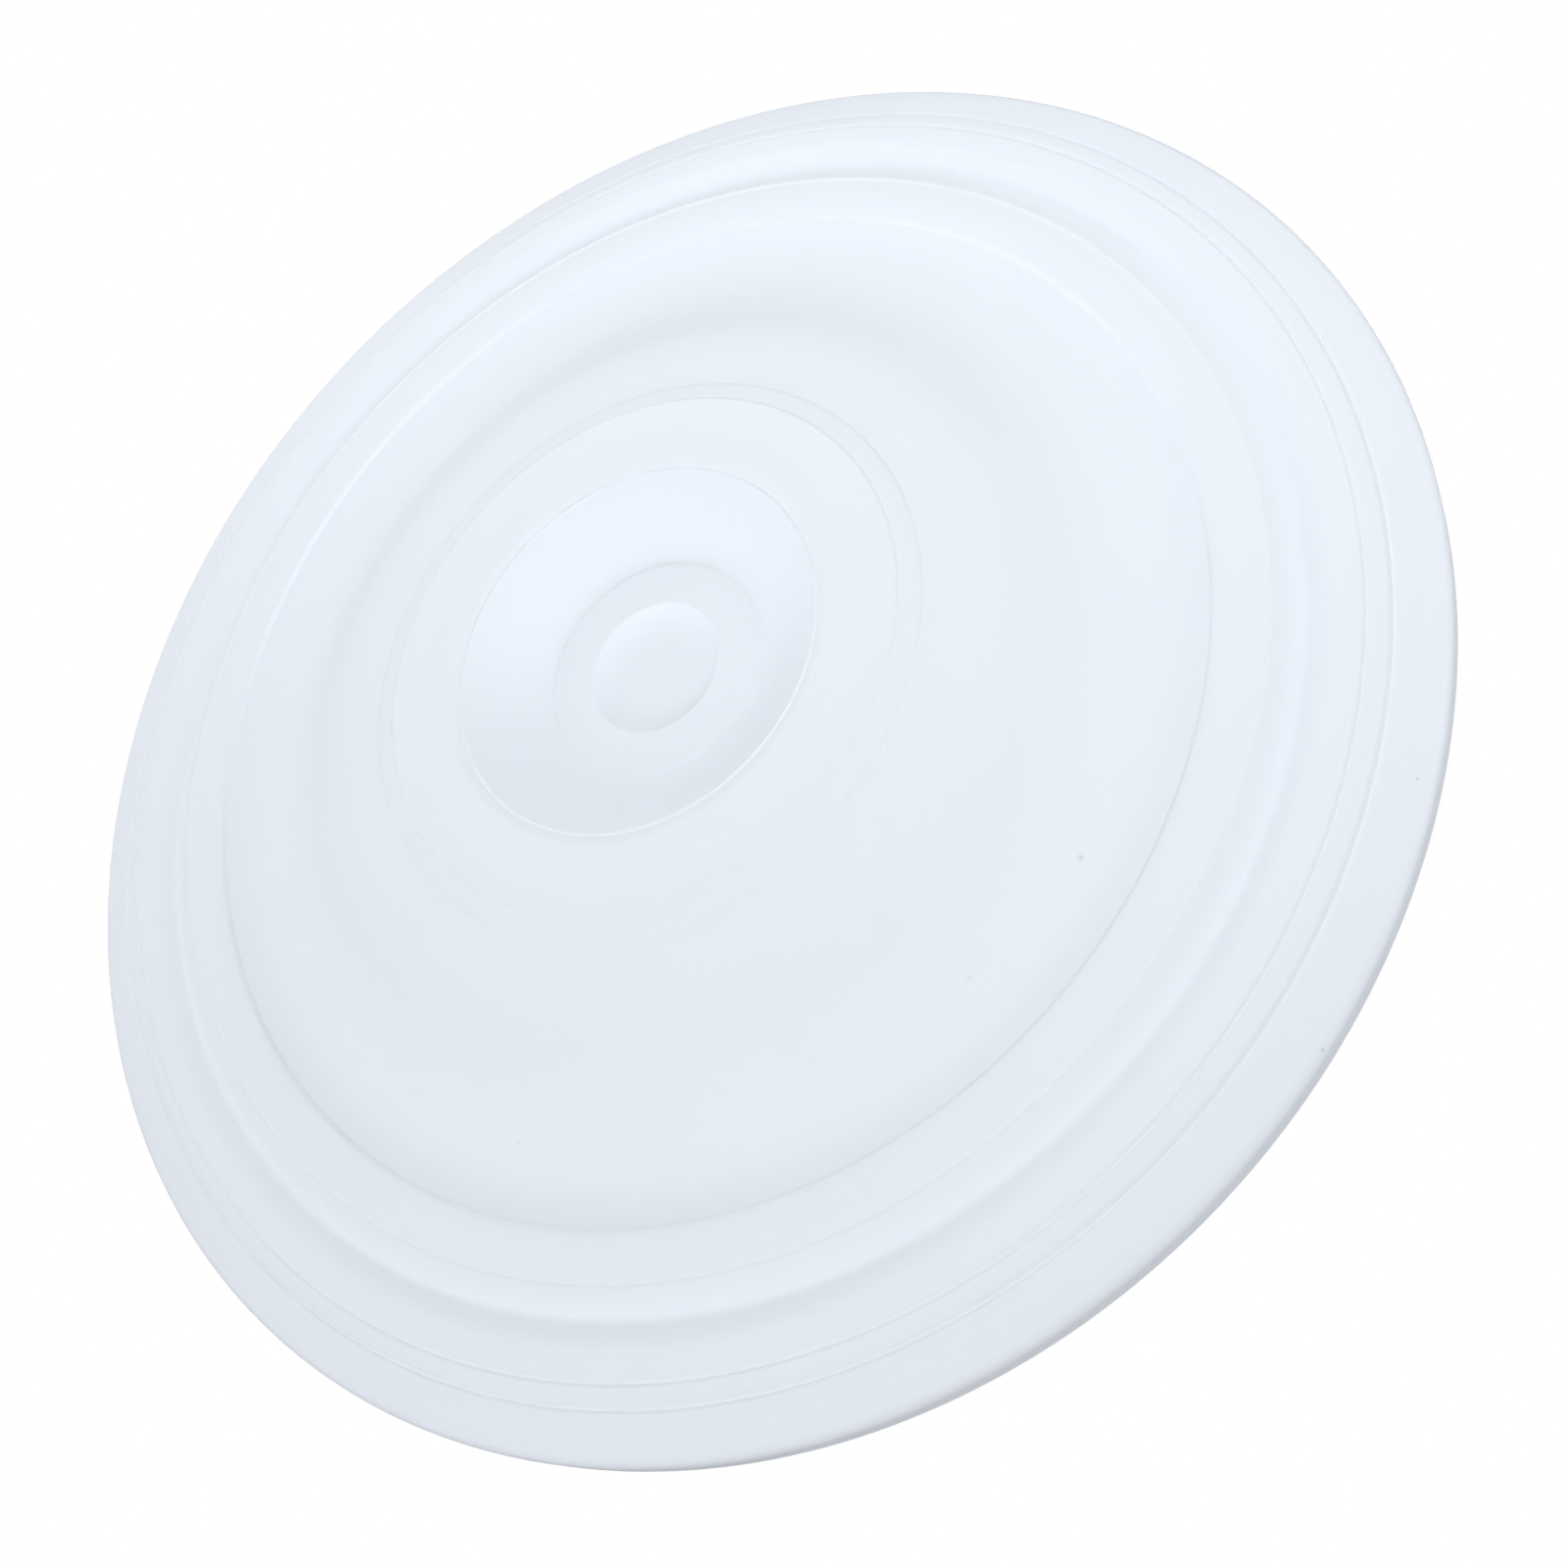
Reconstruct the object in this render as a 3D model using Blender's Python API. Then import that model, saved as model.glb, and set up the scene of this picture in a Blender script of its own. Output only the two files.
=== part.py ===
"""Round ceiling rose, cast as one piece, decorated face downwards.

The flat back lies in the plane z = 0 and rests against the ceiling. The
moulded face hangs below it, so every depth is measured downwards. The axis
of the rose is the world Z axis. All sizes are in metres.

From the edge inwards the face has a sloping rim band, two small steps, an
ovolo, a rise up to a fine arris, a swell, a broad field that falls away and
then sweeps up to the collar, the ring round the middle, and a bowl with a
flat floor and a shallow dimple.
"""
import math

import bmesh
import bpy
import numpy as np

ROUND_STEPS = 84
ROSE_RADIUS = 0.2400

# Edge and rim band
EDGE_WALL = 0.0062
SHOULDER_RADIUS = 0.0030
RIM_BAND_WIDTH = 0.0104
RIM_BAND_RISE = 0.0036

# Two small steps with a flat fillet between them
OUTER_STEP_WIDTH = 0.0020
OUTER_STEP_RISE = 0.0013
FILLET_WIDTH = 0.0052
FILLET_RISE = 0.0011
INNER_STEP_WIDTH = 0.0013
INNER_STEP_RISE = 0.0007

# Ovolo and the rise to the arris
OVOLO_OUTER_WIDTH = 0.0068
OVOLO_RISE = 0.0006
OVOLO_INNER_WIDTH = 0.0094
OVOLO_FALL = 0.0019
ARRIS_RISE_WIDTH = 0.0099
ARRIS_RISE = 0.0042
ARRIS_QUIRK_WIDTH = 0.0008
ARRIS_QUIRK_DEPTH = 0.0002

# Swell that ends in the sharp edge of the field
SWELL_OUTER_WIDTH = 0.0102
SWELL_RISE = 0.0012
SWELL_INNER_WIDTH = 0.0048
SWELL_FALL = 0.0009
FIELD_QUIRK_WIDTH = 0.0010
FIELD_QUIRK_DEPTH = 0.0005

# Field
COVE_WIDTH = 0.0102
COVE_FALL = 0.0021
FIELD_RISE = 0.0212
FIELD_BEND_SHARE = 0.540
FIELD_BEND_HEIGHT = 0.60
FIELD_STEEPNESS = 0.57
FIELD_TOP_SLOPE = 0.12

# Collar and the ring round the bowl
COLLAR_RADIUS = 0.0965
COLLAR_WIDTH = 0.0072
COLLAR_RISE = 0.0025
RING_RISE = 0.0010
RING_CREST_RADIUS = 0.0720
RING_FOOT_RADIUS = 0.0643
RING_FALL = 0.0030

# Bowl, its floor and the dimple
BOWL_EDGE_RADIUS = 0.0632
BOWL_EDGE_RISE = 0.0004
BOWL_FOOT_RADIUS = 0.0384
BOWL_DEPTH = 0.0145
FLOOR_GROOVE_WIDTH = 0.0019
FLOOR_GROOVE_DEPTH = 0.0004
DIMPLE_RADIUS = 0.0229
DIMPLE_FLOOR_RADIUS = 0.0096
DIMPLE_DEPTH = 0.0043

SHARP_ANGLE = math.radians(24.0)
WHITE = (0.86, 0.88, 0.90, 1.0)


def sweep(start, end, start_slope, end_slope, steps):
    """Points of a smooth curve from start to end, without the start itself.

    Slopes are the rise of the face for each metre travelled inwards.
    """
    run = start[0] - end[0]
    points = []
    for share in np.linspace(0.0, 1.0, steps + 1)[1:]:
        rest = 1.0 - share
        height = start[1] * rest * rest * (1.0 + 2.0 * share)
        height += end[1] * share * share * (3.0 - 2.0 * share)
        height += start_slope * run * share * rest * rest
        height -= end_slope * run * rest * share * share
        points.append((start[0] - run * share, height))
    return points


def shoulder(wall_top):
    """Quarter-round points that turn from the edge wall onto the rim band."""
    band_slope = math.atan2(RIM_BAND_RISE, RIM_BAND_WIDTH)
    points = []
    for angle in np.linspace(0.0, math.pi / 2.0 - band_slope, 4)[1:]:
        radius = ROSE_RADIUS - SHOULDER_RADIUS * (1.0 - math.cos(angle))
        height = wall_top + SHOULDER_RADIUS * math.sin(angle)
        points.append((radius, height))
    return points


def border(profile):
    """Adds the edge and the mouldings down to the lowest line of the field."""
    def step(width, rise):
        last = profile[-1]
        return (last[0] - width, last[1] + rise)

    profile.append((ROSE_RADIUS, EDGE_WALL))
    profile.extend(shoulder(EDGE_WALL))
    profile.append(step(RIM_BAND_WIDTH, RIM_BAND_RISE))
    profile.append(step(OUTER_STEP_WIDTH, OUTER_STEP_RISE))
    profile.append(step(FILLET_WIDTH, FILLET_RISE))
    profile.append(step(INNER_STEP_WIDTH, INNER_STEP_RISE))
    profile.extend(sweep(profile[-1], step(OVOLO_OUTER_WIDTH, OVOLO_RISE), 0.14, 0.0, 2))
    profile.extend(sweep(profile[-1], step(OVOLO_INNER_WIDTH, -OVOLO_FALL), 0.0, -0.25, 3))
    profile.extend(sweep(profile[-1], step(ARRIS_RISE_WIDTH, ARRIS_RISE), 0.30, 0.40, 3))
    profile.append(step(ARRIS_QUIRK_WIDTH, -ARRIS_QUIRK_DEPTH))
    profile.extend(sweep(profile[-1], step(SWELL_OUTER_WIDTH, SWELL_RISE), 0.22, 0.0, 2))
    profile.extend(sweep(profile[-1], step(SWELL_INNER_WIDTH, -SWELL_FALL), 0.0, -0.38, 2))
    profile.append(step(FIELD_QUIRK_WIDTH, -FIELD_QUIRK_DEPTH))
    profile.extend(sweep(profile[-1], step(COVE_WIDTH, -COVE_FALL), -0.30, 0.0, 3))


def field(profile):
    """Adds the broad field that sweeps up from its lowest line to the collar."""
    low = profile[-1]
    width = low[0] - COLLAR_RADIUS
    bend = (low[0] - width * FIELD_BEND_SHARE, low[1] + FIELD_RISE * FIELD_BEND_HEIGHT)
    top = (COLLAR_RADIUS, low[1] + FIELD_RISE)
    profile.extend(sweep(low, bend, 0.0, FIELD_STEEPNESS, 6))
    profile.extend(sweep(bend, top, FIELD_STEEPNESS, FIELD_TOP_SLOPE, 5))


def centre(profile):
    """Adds the collar, the ring, the bowl with its floor, and the dimple."""
    foot = profile[-1]
    lip = (COLLAR_RADIUS - COLLAR_WIDTH, foot[1] + COLLAR_RISE)
    crest = (RING_CREST_RADIUS, lip[1] + RING_RISE)
    ring_foot = (RING_FOOT_RADIUS, crest[1] - RING_FALL)
    bowl_edge = (BOWL_EDGE_RADIUS, ring_foot[1] + BOWL_EDGE_RISE)
    bowl_foot = (BOWL_FOOT_RADIUS, bowl_edge[1] - BOWL_DEPTH)
    floor = bowl_foot[1] + FLOOR_GROOVE_DEPTH
    profile.extend(sweep(foot, lip, 0.42, 0.28, 2))
    profile.extend(sweep(lip, crest, 0.18, 0.0, 3))
    profile.extend(sweep(crest, ring_foot, 0.0, -0.45, 3))
    profile.append(bowl_edge)
    profile.extend(sweep(bowl_edge, bowl_foot, -0.60, 0.0, 5))
    profile.append((BOWL_FOOT_RADIUS - FLOOR_GROOVE_WIDTH, floor))
    profile.append((DIMPLE_RADIUS, floor))
    dimple_floor = (DIMPLE_FLOOR_RADIUS, floor - DIMPLE_DEPTH)
    profile.extend(sweep(profile[-1], dimple_floor, -0.80, 0.0, 4))
    profile.append((0.0, dimple_floor[1]))


def face_profile():
    """Radius and depth of the whole section, from the back edge to the middle."""
    profile = [(ROSE_RADIUS, 0.0)]
    border(profile)
    field(profile)
    centre(profile)
    return profile


def turned_solid(profile):
    """Closed mesh made by turning the section once round the Z axis."""
    mesh = bpy.data.meshes.new("ceiling_rose")
    body = bmesh.new()
    section = [(0.0, 0.0)] + profile
    corners = [body.verts.new((radius, 0.0, -depth)) for radius, depth in section]
    edges = [body.edges.new(pair) for pair in zip(corners, corners[1:])]
    bmesh.ops.spin(
        body,
        geom=corners + edges,
        cent=(0.0, 0.0, 0.0),
        axis=(0.0, 0.0, 1.0),
        angle=math.tau,
        steps=ROUND_STEPS,
        use_merge=True,
    )
    bmesh.ops.remove_doubles(body, verts=body.verts, dist=0.00001)
    bmesh.ops.recalc_face_normals(body, faces=body.faces)
    body.to_mesh(mesh)
    body.free()
    return mesh


def white_material():
    """Matt white of the cast piece."""
    material = bpy.data.materials.new("rose_white")
    material.use_nodes = True
    shader = material.node_tree.nodes["Principled BSDF"]
    shader.inputs["Base Color"].default_value = WHITE
    shader.inputs["Roughness"].default_value = 0.72
    return material


def main():
    """Clears the scene and makes the rose."""
    for old in list(bpy.data.objects):
        bpy.data.objects.remove(old, do_unlink=True)
    mesh = turned_solid(face_profile())
    rose = bpy.data.objects.new("ceiling_rose", mesh)
    bpy.context.scene.collection.objects.link(rose)
    mesh.materials.append(white_material())
    mesh.shade_smooth()
    mesh.set_sharp_from_angle(angle=SHARP_ANGLE)


main()
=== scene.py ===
"""Dressed model of a round white ceiling rose that hangs face down.

The flat back rests against the ceiling in the plane z = 0 and the moulded
face hangs below it, so depths are measured downwards. The axis of the rose is
the world Z axis and all sizes are in metres.
"""
import logging
import math
from dataclasses import dataclass, field
from enum import Enum

import bmesh
import bpy
import numpy as np
from mathutils import Matrix, Vector


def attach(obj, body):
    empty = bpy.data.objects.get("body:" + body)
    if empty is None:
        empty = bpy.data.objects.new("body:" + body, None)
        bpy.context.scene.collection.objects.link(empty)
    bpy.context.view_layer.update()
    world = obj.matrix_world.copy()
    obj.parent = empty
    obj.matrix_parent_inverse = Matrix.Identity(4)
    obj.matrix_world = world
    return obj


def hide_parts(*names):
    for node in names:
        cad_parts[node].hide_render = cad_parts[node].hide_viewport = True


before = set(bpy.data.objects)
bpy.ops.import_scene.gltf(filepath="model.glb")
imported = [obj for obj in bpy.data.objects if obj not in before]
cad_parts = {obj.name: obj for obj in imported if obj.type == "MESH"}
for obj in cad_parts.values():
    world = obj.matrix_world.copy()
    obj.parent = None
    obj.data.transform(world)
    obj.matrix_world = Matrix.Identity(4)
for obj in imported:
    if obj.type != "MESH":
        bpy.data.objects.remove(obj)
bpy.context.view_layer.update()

LOG = logging.getLogger("ceiling_rose")
PHOTO_WIDTH = 1600.0
COOL_WHITE = (0.928, 0.948, 1.0)

Point = tuple[float, float]
Operand = float | bpy.types.NodeSocket

# Places of the colour sockets on a Mix node
MIX_FIRST = 6
MIX_SECOND = 7
MIX_RESULT = 2

# Places of the two shader sockets on a Mix Shader node
BLEND_FIRST = 1
BLEND_SECOND = 2

# A corner takes up at most this share of the lines beside it, and is drawn at these stops
CORNER_SHARE = 0.45
CORNER_STOPS = (0.0, 0.33, 0.67, 1.0)


class Socket(Enum):
    """Kinds of socket that a shader node group can have."""

    NUMBER = "NodeSocketFloat"
    VECTOR = "NodeSocketVector"


class Corner(Enum):
    """How a corner of the section is finished."""

    CRISP = 0.00026
    EASED = 0.00060


def link_object(name: str, data: bpy.types.ID) -> bpy.types.Object:
    """Puts new data into the scene as an object.

    Args:
        name: Name of the object.
        data: Mesh, light or camera that the object shows.

    Returns:
        The new object, at the origin.
    """
    thing = bpy.data.objects.new(name, data)
    bpy.context.scene.collection.objects.link(thing)
    return thing


def towards(azimuth: float, reach: float, height: float) -> Vector:
    """Place of a lamp round the rose.

    Args:
        azimuth: Direction in degrees round the Z axis from +X.
        reach: Distance from the axis in metres.
        height: Height above the ceiling plane, so below it is negative.

    Returns:
        The place in the world.
    """
    turn = math.radians(azimuth)
    return Vector((reach * math.cos(turn), reach * math.sin(turn), height))


class NodeBench:
    """Small helper that adds and joins nodes in one node tree."""

    def __init__(self, tree: bpy.types.NodeTree) -> None:
        """Keeps the node tree of a material, world or group, which the nodes go into."""
        self.tree = tree

    def add(self, kind: str, **settings: object) -> bpy.types.Node:
        """Adds a node and sets its own options.

        Args:
            kind: Blender's name for the node type.
            settings: Options of the node and their values.

        Returns:
            The new node.
        """
        node = self.tree.nodes.new(kind)
        for name, value in settings.items():
            setattr(node, name, value)
        return node

    def join(self, source: bpy.types.NodeSocket, target: bpy.types.NodeSocket) -> None:
        """Joins an output socket to an input socket."""
        self.tree.links.new(source, target)

    def math(self, operation: str, first: Operand, second: Operand = 0.0) -> bpy.types.NodeSocket:
        """Adds a Math node.

        Args:
            operation: Blender's name for the sum, such as MULTIPLY.
            first: Number or output socket.
            second: Number or output socket.

        Returns:
            The result socket.
        """
        node = self.add("ShaderNodeMath", operation=operation)
        for place, value in enumerate((first, second)):
            if isinstance(value, bpy.types.NodeSocket):
                self.join(value, node.inputs[place])
            else:
                node.inputs[place].default_value = value
        return node.outputs[0]

    def fade(self, value: bpy.types.NodeSocket, low: float, high: float) -> bpy.types.NodeSocket:
        """Maps a value smoothly from 1 at low to 0 at high.

        Args:
            value: Output socket that is mapped.
            low: Value that gives 1.
            high: Value that gives 0.

        Returns:
            The result socket.
        """
        node = self.add("ShaderNodeMapRange", interpolation_type="SMOOTHSTEP")
        self.join(value, node.inputs["Value"])
        node.inputs["From Min"].default_value = low
        node.inputs["From Max"].default_value = high
        node.inputs["To Min"].default_value = 1.0
        node.inputs["To Max"].default_value = 0.0
        return node.outputs["Result"]


def open_group(name: str, inputs: dict[str, Socket], outputs: dict[str, Socket]) -> NodeBench:
    """Starts a shader node group with named sockets.

    Args:
        name: Name of the group.
        inputs: Kind of each input, by name.
        outputs: Kind of each output, by name.

    Returns:
        A bench for the group's node tree.
    """
    tree = bpy.data.node_groups.new(name, "ShaderNodeTree")
    for label, kind in inputs.items():
        tree.interface.new_socket(name=label, in_out="INPUT", socket_type=kind.value)
    for label, kind in outputs.items():
        tree.interface.new_socket(name=label, in_out="OUTPUT", socket_type=kind.value)
    return NodeBench(tree)


@dataclass(frozen=True)
class Mark:
    """A small spot or nick on the face, at a place measured from the axis."""

    x: float
    y: float
    size: float
    darkness: float


@dataclass(frozen=True)
class PrimedFoam:
    """Matt white factory primer over moulded foam."""

    colour: tuple[float, float, float] = (0.845, 0.872, 0.892)
    shade: tuple[float, float, float] = (0.828, 0.856, 0.878)
    mark_colour: tuple[float, float, float] = (0.36, 0.37, 0.38)
    specular: float = 0.30
    roughness: float = 0.66
    roughness_spread: float = 0.10
    cloud_scale: float = 9.0
    cloud_detail: float = 3.0
    ripple_scale: float = 55.0
    ripple_detail: float = 2.0
    ripple_height: float = 0.00006
    grain_scale: float = 1500.0
    grain_detail: float = 1.0
    grain_height: float = 0.00002
    seam_azimuth: float = -279.5
    seam_width: float = 0.0050
    seam_height: float = 0.00016
    seam_inner: float = 0.180
    seam_inner_fade: float = 0.006
    seam_outer: float = 0.232
    seam_outer_fade: float = 0.005
    mark_core: float = 0.35
    mark_depth: float = 0.00010
    marks: tuple[Mark, ...] = (
        Mark(0.0394, 0.1531, 0.0013, 0.22),
        Mark(-0.0056, 0.1530, 0.0014, 0.08),
        Mark(0.0412, 0.2352, 0.0007, 0.35),
        Mark(0.1116, 0.2070, 0.0006, 0.30),
        Mark(-0.1329, 0.0790, 0.0008, 0.12),
    )

    def surface_group(self) -> bpy.types.NodeTree:
        """Builds the group that gives the slow tone, ripple and fine grain.

        Returns:
            The node group, with a tone mask and a height.
        """
        bench = open_group(
            "primed_surface",
            {
                "Vector": Socket.VECTOR,
                "Ripple Height": Socket.NUMBER,
                "Grain Height": Socket.NUMBER,
            },
            {"Tone": Socket.NUMBER, "Height": Socket.NUMBER},
        )
        given = bench.add("NodeGroupInput")
        result = bench.add("NodeGroupOutput")
        noises = []
        for scale, detail in (
            (self.cloud_scale, self.cloud_detail),
            (self.ripple_scale, self.ripple_detail),
            (self.grain_scale, self.grain_detail),
        ):
            noise = bench.add("ShaderNodeTexNoise")
            noise.inputs["Scale"].default_value = scale
            noise.inputs["Detail"].default_value = detail
            bench.join(given.outputs["Vector"], noise.inputs["Vector"])
            noises.append(noise.outputs["Fac"])
        bench.join(noises[0], result.inputs["Tone"])
        ripple = bench.math("MULTIPLY", noises[1], given.outputs["Ripple Height"])
        grain = bench.math("MULTIPLY", noises[2], given.outputs["Grain Height"])
        bench.join(bench.math("ADD", ripple, grain), result.inputs["Height"])
        return bench.tree

    def seam_group(self) -> bpy.types.NodeTree:
        """Builds the group for the faint moulding line across the border.

        Returns:
            The node group, with one mask.
        """
        bench = open_group("border_seam", {"Vector": Socket.VECTOR}, {"Mask": Socket.NUMBER})
        given = bench.add("NodeGroupInput")
        result = bench.add("NodeGroupOutput")
        turn = math.radians(self.seam_azimuth)
        along = (math.cos(turn), math.sin(turn), 0.0)
        across = (-math.sin(turn), math.cos(turn), 0.0)
        reaches = []
        for direction in (along, across):
            dot = bench.add("ShaderNodeVectorMath", operation="DOT_PRODUCT")
            bench.join(given.outputs["Vector"], dot.inputs[0])
            dot.inputs[1].default_value = direction
            reaches.append(dot.outputs["Value"])
        width = bench.fade(bench.math("ABSOLUTE", reaches[1]), 0.0, self.seam_width)
        inner = bench.fade(reaches[0], self.seam_inner + self.seam_inner_fade, self.seam_inner)
        outer = bench.fade(reaches[0], self.seam_outer, self.seam_outer + self.seam_outer_fade)
        span = bench.math("MULTIPLY", inner, outer)
        bench.join(bench.math("MULTIPLY", width, span), result.inputs["Mask"])
        return bench.tree

    def marks_group(self) -> bpy.types.NodeTree:
        """Builds the group that darkens the few small spots.

        Returns:
            The node group, with one mask.
        """
        bench = open_group("small_marks", {"Vector": Socket.VECTOR}, {"Mask": Socket.NUMBER})
        given = bench.add("NodeGroupInput")
        result = bench.add("NodeGroupOutput")
        flat = bench.add("ShaderNodeVectorMath", operation="MULTIPLY")
        bench.join(given.outputs["Vector"], flat.inputs[0])
        flat.inputs[1].default_value = (1.0, 1.0, 0.0)
        total: Operand = 0.0
        for mark in self.marks:
            gap = bench.add("ShaderNodeVectorMath", operation="DISTANCE")
            bench.join(flat.outputs["Vector"], gap.inputs[0])
            gap.inputs[1].default_value = (mark.x, mark.y, 0.0)
            spot = bench.fade(gap.outputs["Value"], mark.size * self.mark_core, mark.size)
            total = bench.math("MAXIMUM", bench.math("MULTIPLY", spot, mark.darkness), total)
        bench.join(total, result.inputs["Mask"])
        return bench.tree

    def material(self) -> bpy.types.Material:
        """Builds the white material of the rose.

        Returns:
            The material, with tone, roughness and relief from its nodes.
        """
        paint = bpy.data.materials.new("rose_white")
        paint.use_nodes = True
        bench = NodeBench(paint.node_tree)
        shader = paint.node_tree.nodes["Principled BSDF"]
        shader.inputs["Specular IOR Level"].default_value = self.specular
        place = bench.add("ShaderNodeTexCoord").outputs["Object"]
        groups = {}
        for label, tree in (
            ("surface", self.surface_group()),
            ("seam", self.seam_group()),
            ("marks", self.marks_group()),
        ):
            groups[label] = bench.add("ShaderNodeGroup", node_tree=tree)
            bench.join(place, groups[label].inputs["Vector"])
        surface = groups["surface"]
        surface.inputs["Ripple Height"].default_value = self.ripple_height
        surface.inputs["Grain Height"].default_value = self.grain_height

        tone = bench.add("ShaderNodeMix", data_type="RGBA")
        bench.join(surface.outputs["Tone"], tone.inputs["Factor"])
        tone.inputs[MIX_FIRST].default_value = (*self.shade, 1.0)
        tone.inputs[MIX_SECOND].default_value = (*self.colour, 1.0)
        spotted = bench.add("ShaderNodeMix", data_type="RGBA")
        bench.join(groups["marks"].outputs["Mask"], spotted.inputs["Factor"])
        bench.join(tone.outputs[MIX_RESULT], spotted.inputs[MIX_FIRST])
        spotted.inputs[MIX_SECOND].default_value = (*self.mark_colour, 1.0)
        bench.join(spotted.outputs[MIX_RESULT], shader.inputs["Base Color"])

        spread = bench.math("MULTIPLY", surface.outputs["Tone"], self.roughness_spread)
        bench.join(bench.math("ADD", spread, self.roughness), shader.inputs["Roughness"])

        seam = bench.math("MULTIPLY", groups["seam"].outputs["Mask"], self.seam_height)
        nicks = bench.math("MULTIPLY", groups["marks"].outputs["Mask"], -self.mark_depth)
        height = bench.math("ADD", surface.outputs["Height"], bench.math("ADD", seam, nicks))
        relief = bench.add("ShaderNodeBump")
        relief.inputs["Strength"].default_value = 1.0
        relief.inputs["Distance"].default_value = 1.0
        bench.join(height, relief.inputs["Height"])
        bench.join(relief.outputs["Normal"], shader.inputs["Normal"])
        return paint


@dataclass(frozen=True)
class Step:
    """A straight run of the section, by its width and rise."""

    width: float
    rise: float


@dataclass(frozen=True)
class Sweep:
    """A smooth run of the section, by its width and rise.

    Slopes are the rise of the face for each metre travelled inwards, and lines
    is the number of straight lines that the run is drawn with.
    """

    width: float
    rise: float
    start_slope: float
    end_slope: float
    lines: int


@dataclass(frozen=True)
class Reach:
    """A smooth run of the section, by the radius where it ends and its rise."""

    radius: float
    rise: float
    start_slope: float
    end_slope: float
    lines: int


@dataclass
class Section:
    """Half section of the rose, drawn from the back edge to the middle."""

    points: list[Point] = field(default_factory=list)

    @property
    def last(self) -> Point:
        """The point that was drawn last."""
        return self.points[-1]

    def start(self, radius: float, depth: float) -> None:
        """Draws the first point."""
        self.points.append((radius, depth))

    def step(self, step: Step) -> None:
        """Draws a straight run inwards."""
        self.points.append((self.last[0] - step.width, self.last[1] + step.rise))

    def sweep(self, sweep: Sweep) -> None:
        """Draws a smooth run of a set width inwards."""
        end = (self.last[0] - sweep.width, self.last[1] + sweep.rise)
        self.curve_to(end, sweep.start_slope, sweep.end_slope, sweep.lines)

    def reach(self, reach: Reach) -> None:
        """Draws a smooth run inwards to a set radius."""
        end = (reach.radius, self.last[1] + reach.rise)
        self.curve_to(end, reach.start_slope, reach.end_slope, reach.lines)

    def curve_to(self, end: Point, start_slope: float, end_slope: float, lines: int) -> None:
        """Draws a smooth run inwards to a set point.

        Args:
            end: Radius and depth of its last point.
            start_slope: Rise for each metre travelled inwards, at its start.
            end_slope: The same at its end.
            lines: Number of straight lines that it is drawn with.
        """
        begin = self.last
        run = begin[0] - end[0]
        for share in np.linspace(0.0, 1.0, lines + 1)[1:]:
            rest = 1.0 - share
            depth = begin[1] * rest * rest * (1.0 + 2.0 * share)
            depth += end[1] * share * share * (3.0 - 2.0 * share)
            depth += start_slope * run * share * rest * rest
            depth -= end_slope * run * rest * share * share
            self.points.append((float(begin[0] - run * share), float(depth)))

    def eased(self, corner: Corner, least_turn: float) -> list[Point]:
        """Rounds the corners of the section.

        Args:
            corner: How wide the rounding is.
            least_turn: Turns below this angle, in radians, are left alone.

        Returns:
            The points of the rounded section.
        """
        eased = [self.points[0]]
        for before, here, after in zip(self.points, self.points[1:], self.points[2:]):
            back = Vector((before[0] - here[0], before[1] - here[1]))
            ahead = Vector((after[0] - here[0], after[1] - here[1]))
            turn = math.pi - back.angle(ahead, math.pi)
            if turn < least_turn:
                eased.append(here)
                continue
            reach = min(corner.value, back.length * CORNER_SHARE, ahead.length * CORNER_SHARE)
            middle = Vector(here)
            first = middle + back.normalized() * reach
            last = middle + ahead.normalized() * reach
            for share in CORNER_STOPS:
                rest = 1.0 - share
                spot = first * rest * rest + middle * 2.0 * rest * share + last * share * share
                eased.append((spot.x, spot.y))
        eased.append(self.points[-1])
        return eased


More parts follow.
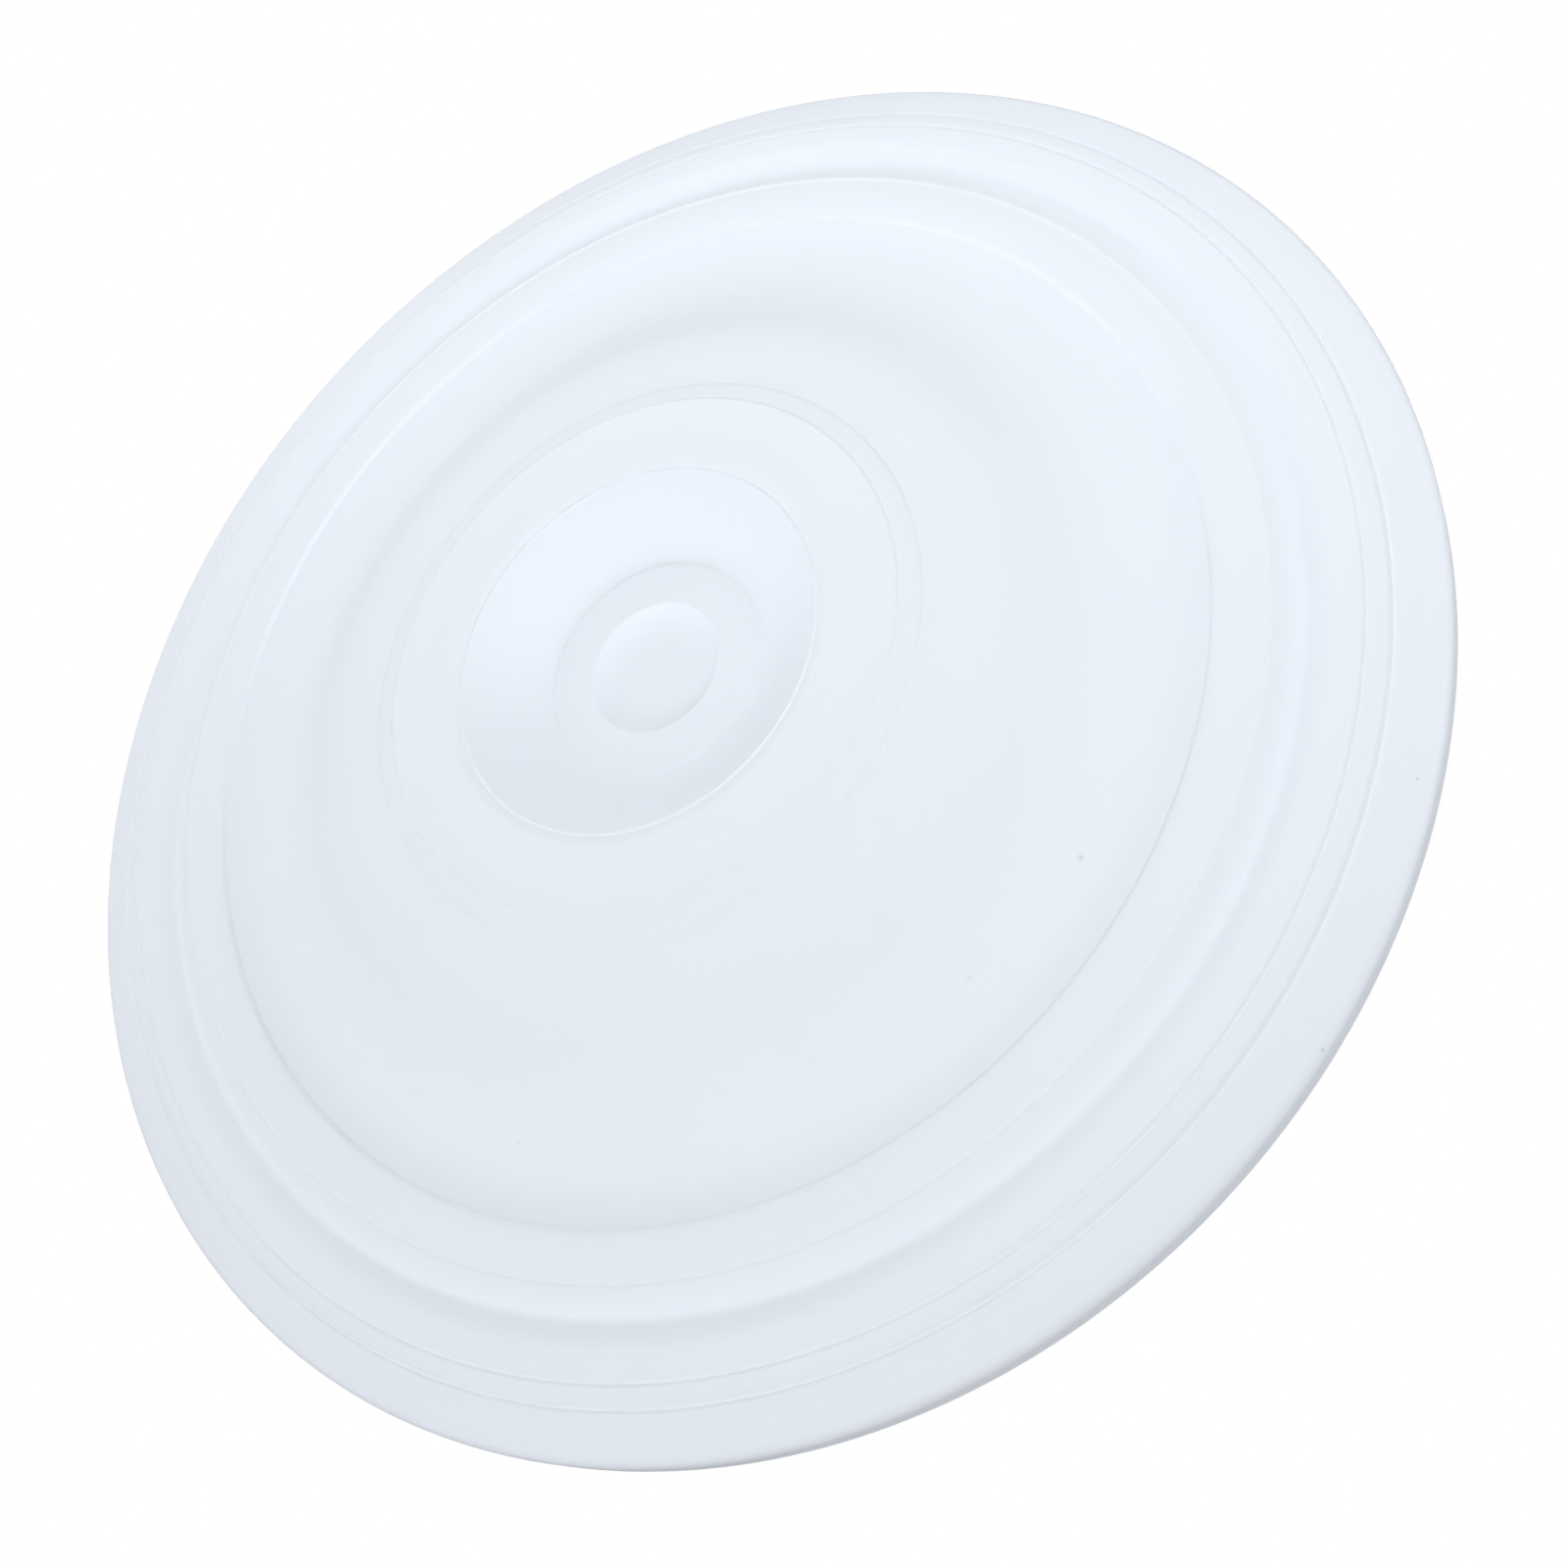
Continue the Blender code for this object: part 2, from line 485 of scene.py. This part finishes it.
@dataclass
class CeilingRose:
    """The whole rose, cast in one piece."""

    radius: float = 0.2400
    round_steps: int = 300
    sharp_angle: float = math.radians(40.0)
    least_turn: float = math.radians(9.0)

    back_margin: float = 0.006
    merge_gap: float = 0.000005

    edge_wall: float = 0.0051
    shoulder_radius: float = 0.0045
    shoulder_lines: int = 8
    rim_band: Sweep = Sweep(width=0.0109, rise=0.0034, start_slope=0.38, end_slope=0.30, lines=6)
    step_line: Step = Step(width=0.0009, rise=-0.0004)
    outer_step: Step = Step(width=0.0012, rise=0.0016)
    fillet: Sweep = Sweep(width=0.0046, rise=0.0013, start_slope=0.26, end_slope=0.18, lines=4)
    inner_step: Step = Step(width=0.0010, rise=0.0011)

    ovolo_outer: Sweep = Sweep(width=0.0069, rise=0.0006, start_slope=0.10, end_slope=0.0, lines=7)
    ovolo_inner: Sweep = Sweep(width=0.0068, rise=-0.0019, start_slope=0.0, end_slope=-0.34, lines=9)
    trough: Sweep = Sweep(width=0.0030, rise=0.0, start_slope=-0.34, end_slope=0.36, lines=9)
    arris_rise: Sweep = Sweep(width=0.0075, rise=0.0042, start_slope=0.36, end_slope=0.44, lines=8)
    arris_quirk: Step = Step(width=0.0009, rise=-0.0004)

    swell_outer: Sweep = Sweep(width=0.0102, rise=0.0012, start_slope=0.28, end_slope=0.0, lines=9)
    swell_inner: Sweep = Sweep(width=0.0049, rise=-0.0009, start_slope=0.0, end_slope=-0.38, lines=7)
    field_quirk: Step = Step(width=0.0009, rise=-0.0012)
    cove: Sweep = Sweep(width=0.0102, rise=-0.0021, start_slope=-0.28, end_slope=0.0, lines=10)

    field_rise: float = 0.0213
    field_bend_share: float = 0.540
    field_bend_height: float = 0.60
    field_steepness: float = 0.57
    field_top_slope: float = 0.20
    field_lower_lines: int = 22
    field_upper_lines: int = 18

    collar_radius: float = 0.0972
    collar_step: Step = Step(width=0.0009, rise=0.0008)
    collar_band: Sweep = Sweep(width=0.0060, rise=0.0015, start_slope=0.32, end_slope=0.16, lines=5)
    ring_hollow: Reach = Reach(radius=0.0795, rise=-0.0009, start_slope=-0.24, end_slope=0.0, lines=8)
    ring_crest: Reach = Reach(radius=0.0680, rise=0.0013, start_slope=0.0, end_slope=0.0, lines=12)
    ring_foot: Reach = Reach(radius=0.0641, rise=-0.0014, start_slope=0.0, end_slope=-0.60, lines=8)

    lip_rise: Step = Step(width=0.0009, rise=0.0005)
    lip_fall: Step = Step(width=0.0009, rise=-0.0009)
    bowl_foot: Reach = Reach(radius=0.0384, rise=-0.0154, start_slope=-0.68, end_slope=0.0, lines=20)
    floor_groove: Step = Step(width=0.0016, rise=0.0004)
    bowl_floor: Reach = Reach(radius=0.0229, rise=0.0, start_slope=0.0, end_slope=0.0, lines=6)
    dimple: Reach = Reach(radius=0.0096, rise=-0.0043, start_slope=-0.95, end_slope=0.0, lines=12)

    finish: PrimedFoam = field(default_factory=PrimedFoam)

    def draw_border(self, section: Section) -> None:
        """Draws the edge and the mouldings in to the edge of the field.

        Args:
            section: The half section, which this adds to.
        """
        section.start(self.radius, 0.0)
        section.step(Step(0.0, self.edge_wall))
        band_slope = math.atan2(self.rim_band.rise, self.rim_band.width)
        for angle in np.linspace(0.0, math.pi / 2.0 - band_slope, self.shoulder_lines + 1)[1:]:
            radius = self.radius - self.shoulder_radius * (1.0 - math.cos(angle))
            depth = self.edge_wall + self.shoulder_radius * math.sin(angle)
            section.points.append((radius, depth))
        section.sweep(self.rim_band)
        section.step(self.step_line)
        section.step(self.outer_step)
        section.sweep(self.fillet)
        section.step(self.step_line)
        section.step(self.inner_step)
        section.sweep(self.ovolo_outer)
        section.sweep(self.ovolo_inner)
        section.sweep(self.trough)
        section.sweep(self.arris_rise)
        section.step(self.arris_quirk)
        section.sweep(self.swell_outer)
        section.sweep(self.swell_inner)

    def draw_field(self, section: Section) -> None:
        """Draws the broad field, with its sharp edge, up to the collar.

        Args:
            section: The half section, which this adds to.
        """
        section.step(self.field_quirk)
        section.sweep(self.cove)
        low = section.last
        width = low[0] - self.collar_radius
        bend_depth = low[1] + self.field_rise * self.field_bend_height
        bend = (low[0] - width * self.field_bend_share, bend_depth)
        top = (self.collar_radius, low[1] + self.field_rise)
        section.curve_to(bend, 0.0, self.field_steepness, self.field_lower_lines)
        section.curve_to(top, self.field_steepness, self.field_top_slope, self.field_upper_lines)

    def draw_centre(self, section: Section) -> None:
        """Draws the collar, the ring, the bowl with its floor, and the dimple.

        Args:
            section: The half section, which this adds to.
        """
        section.step(self.collar_step)
        section.sweep(self.collar_band)
        section.step(self.collar_step)
        section.reach(self.ring_hollow)
        section.reach(self.ring_crest)
        section.reach(self.ring_foot)
        section.step(self.lip_rise)
        section.step(self.lip_fall)
        section.reach(self.bowl_foot)
        section.step(self.floor_groove)
        section.reach(self.bowl_floor)
        section.reach(self.dimple)
        section.step(Step(self.dimple.radius, 0.0))

    def section_points(self) -> list[Point]:
        """Draws the whole half section.

        Returns:
            Radius and depth of every point, from the back edge to the middle.
        """
        border = Section()
        self.draw_border(border)
        inside = Section([border.last])
        self.draw_field(inside)
        self.draw_centre(inside)
        outer = border.eased(Corner.EASED, self.least_turn)
        return outer[:-1] + inside.eased(Corner.CRISP, self.least_turn)

    def build_mesh(self) -> bpy.types.Mesh:
        """Turns the section once round the axis.

        Returns:
            The closed mesh of the rose.
        """
        mesh = bpy.data.meshes.new("rose_casting")
        body = bmesh.new()
        outline = [(0.0, 0.0), (self.radius - self.back_margin, 0.0)] + self.section_points()
        corners = [body.verts.new((radius, 0.0, -depth)) for radius, depth in outline]
        edges = [body.edges.new(pair) for pair in zip(corners, corners[1:])]
        bmesh.ops.spin(
            body,
            geom=corners + edges,
            cent=(0.0, 0.0, 0.0),
            axis=(0.0, 0.0, 1.0),
            angle=math.tau,
            steps=self.round_steps,
            use_merge=True,
        )
        bmesh.ops.remove_doubles(body, verts=body.verts, dist=self.merge_gap)
        bmesh.ops.recalc_face_normals(body, faces=body.faces)
        body.to_mesh(mesh)
        body.free()
        mesh.shade_smooth()
        mesh.set_sharp_from_angle(angle=self.sharp_angle)
        return mesh

    def build(self) -> bpy.types.Object:
        """Builds the rose, dresses it and fixes it to the frame.

        Returns:
            The finished object.
        """
        mesh = self.build_mesh()
        mesh.materials.append(self.finish.material())
        rose = link_object("rose_casting", mesh)
        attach(rose, "root")
        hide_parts("ceiling_rose")
        return rose


@dataclass
class PhotoCamera:
    """Camera that stands where the photograph was taken from."""

    focal_pixels: float = 1848.0
    tilt: float = math.radians(34.5)
    turn: float = math.radians(-138.0)
    centre_across: float = 702.6
    centre_down: float = 711.7
    distance: float = 0.5993
    sensor_width: float = 36.0
    nearest_seen: float = 0.02

    def build(self) -> bpy.types.Object:
        """Places the camera.

        Returns:
            The camera object.
        """
        facing = Vector((
            math.sin(self.tilt) * math.cos(self.turn),
            math.sin(self.tilt) * math.sin(self.turn),
            -math.cos(self.tilt),
        ))
        right = Vector((-math.sin(self.turn), math.cos(self.turn), 0.0))
        up = facing.cross(right)
        half = PHOTO_WIDTH / 2.0
        offset = Vector((
            (self.centre_across - half) / self.focal_pixels,
            (self.centre_down - half) / self.focal_pixels,
            1.0,
        )) * self.distance
        flip = Matrix.Diagonal((1.0, -1.0, -1.0))
        turned = Matrix((right, up, facing)).transposed() @ flip
        view = (flip @ turned).to_4x4()
        view.translation = flip @ offset
        data = bpy.data.cameras.new("photo_camera")
        data.sensor_fit = "HORIZONTAL"
        data.sensor_width = self.sensor_width
        data.lens = self.focal_pixels * self.sensor_width / PHOTO_WIDTH
        data.clip_start = self.nearest_seen
        camera = link_object("photo_camera", data)
        camera.matrix_world = view.inverted()
        bpy.context.scene.camera = camera
        return camera


@dataclass(frozen=True)
class SoftLamp:
    """A round soft light that points at the rose."""

    name: str
    azimuth: float
    reach: float
    height: float
    width: float
    watts: float

    def build(self) -> bpy.types.Object:
        """Places the lamp.

        Returns:
            The lamp object.
        """
        data = bpy.data.lights.new(self.name, "AREA")
        data.shape = "DISK"
        data.size = self.width
        data.energy = self.watts
        data.color = COOL_WHITE
        lamp = link_object(self.name, data)
        lamp.location = towards(self.azimuth, self.reach, self.height)
        lamp.rotation_euler = lamp.location.to_track_quat("Z", "Y").to_euler()
        lamp.visible_camera = False
        return lamp


@dataclass
class Studio:
    """Pale floor, even white surround and soft lamps."""

    floor_drop: float = 2.40
    floor_size: float = 5.0
    floor_colour: tuple[float, float, float] = (0.86, 0.86, 0.86)
    floor_roughness: float = 0.9
    surround_light: float = 0.059
    lamps: tuple[SoftLamp, ...] = (
        SoftLamp("wide_lamp_1", -180.0, 1.740, -0.811, 1.056, 0.813),
        SoftLamp("wide_lamp_2", -225.0, 1.740, -0.811, 1.056, 12.035),
        SoftLamp("wide_lamp_3", -225.0, 1.101, -1.573, 1.056, 12.357),
        SoftLamp("near_lamp_1", -45.0, 0.360, -0.360, 0.384, 0.410),
        SoftLamp("near_lamp_2", -315.0, 0.360, -0.360, 0.384, 0.293),
        SoftLamp("low_lamp_1", 0.0, 0.720, -0.216, 0.384, 1.449),
        SoftLamp("low_lamp_2", -90.0, 0.720, -0.216, 0.384, 1.377),
        SoftLamp("low_lamp_3", -135.0, 0.720, -0.216, 0.384, 0.786),
        SoftLamp("low_lamp_4", -315.0, 0.720, -0.216, 0.384, 0.424),
        SoftLamp("front_lamp", 0.0, 0.000, -0.720, 0.384, 0.930),
        SoftLamp("edge_lamp", -305.0, 0.900, 0.240, 0.384, 2.100),
        SoftLamp("back_lamp", 0.0, 0.000, 1.600, 1.600, 20.000),
    )

    def build_floor(self) -> bpy.types.Object:
        """Builds the floor far below the rose.

        Returns:
            The floor object.
        """
        mesh = bpy.data.meshes.new("studio_floor")
        sheet = bmesh.new()
        bmesh.ops.create_grid(sheet, x_segments=1, y_segments=1, size=self.floor_size / 2.0)
        bmesh.ops.translate(sheet, verts=sheet.verts, vec=(0.0, 0.0, -self.floor_drop))
        sheet.to_mesh(mesh)
        sheet.free()
        mesh.materials.append(self.floor_paint())
        floor = link_object("studio_floor", mesh)
        return floor

    def floor_paint(self) -> bpy.types.Material:
        """Builds the pale floor paint, which the camera sees evenly lit.

        Returns:
            The material of the floor.
        """
        paint = bpy.data.materials.new("floor_white")
        paint.use_nodes = True
        bench = NodeBench(paint.node_tree)
        matt = paint.node_tree.nodes["Principled BSDF"]
        matt.inputs["Base Color"].default_value = (*self.floor_colour, 1.0)
        matt.inputs["Roughness"].default_value = self.floor_roughness
        seen = bench.add("ShaderNodeEmission")
        seen.inputs["Color"].default_value = (*self.floor_colour, 1.0)
        path = bench.add("ShaderNodeLightPath")
        mix = bench.add("ShaderNodeMixShader")
        bench.join(path.outputs["Is Camera Ray"], mix.inputs["Fac"])
        bench.join(matt.outputs["BSDF"], mix.inputs[BLEND_FIRST])
        bench.join(seen.outputs["Emission"], mix.inputs[BLEND_SECOND])
        bench.join(mix.outputs["Shader"], paint.node_tree.nodes["Material Output"].inputs["Surface"])
        return paint

    def build_surround(self) -> None:
        """Builds a white surround that shows pure white and lights softly."""
        world = bpy.data.worlds.new("studio_surround")
        bpy.context.scene.world = world
        world.use_nodes = True
        bench = NodeBench(world.node_tree)
        for old in list(world.node_tree.nodes):
            world.node_tree.nodes.remove(old)
        seen = bench.add("ShaderNodeBackground")
        seen.inputs["Color"].default_value = (1.0, 1.0, 1.0, 1.0)
        seen.inputs["Strength"].default_value = 1.0
        lit = bench.add("ShaderNodeBackground")
        lit.inputs["Color"].default_value = (*COOL_WHITE, 1.0)
        lit.inputs["Strength"].default_value = self.surround_light
        path = bench.add("ShaderNodeLightPath")
        mix = bench.add("ShaderNodeMixShader")
        out = bench.add("ShaderNodeOutputWorld")
        bench.join(path.outputs["Is Camera Ray"], mix.inputs["Fac"])
        bench.join(lit.outputs["Background"], mix.inputs[BLEND_FIRST])
        bench.join(seen.outputs["Background"], mix.inputs[BLEND_SECOND])
        bench.join(mix.outputs["Shader"], out.inputs["Surface"])

    def build(self) -> None:
        """Builds the floor, the surround and the lamps."""
        self.build_floor()
        self.build_surround()
        for lamp in self.lamps:
            lamp.build()


def main() -> None:
    """Builds the camera, the rose and the studio."""
    logging.basicConfig(level=logging.INFO, format="%(name)s: %(message)s")
    bpy.context.scene.view_settings.view_transform = "Standard"
    PhotoCamera().build()
    LOG.info("camera placed")
    rose = CeilingRose().build()
    LOG.info("%s built with %d faces", rose.name, len(rose.data.polygons))
    Studio().build()
    LOG.info("studio built")


if __name__ == "__main__":
    main()
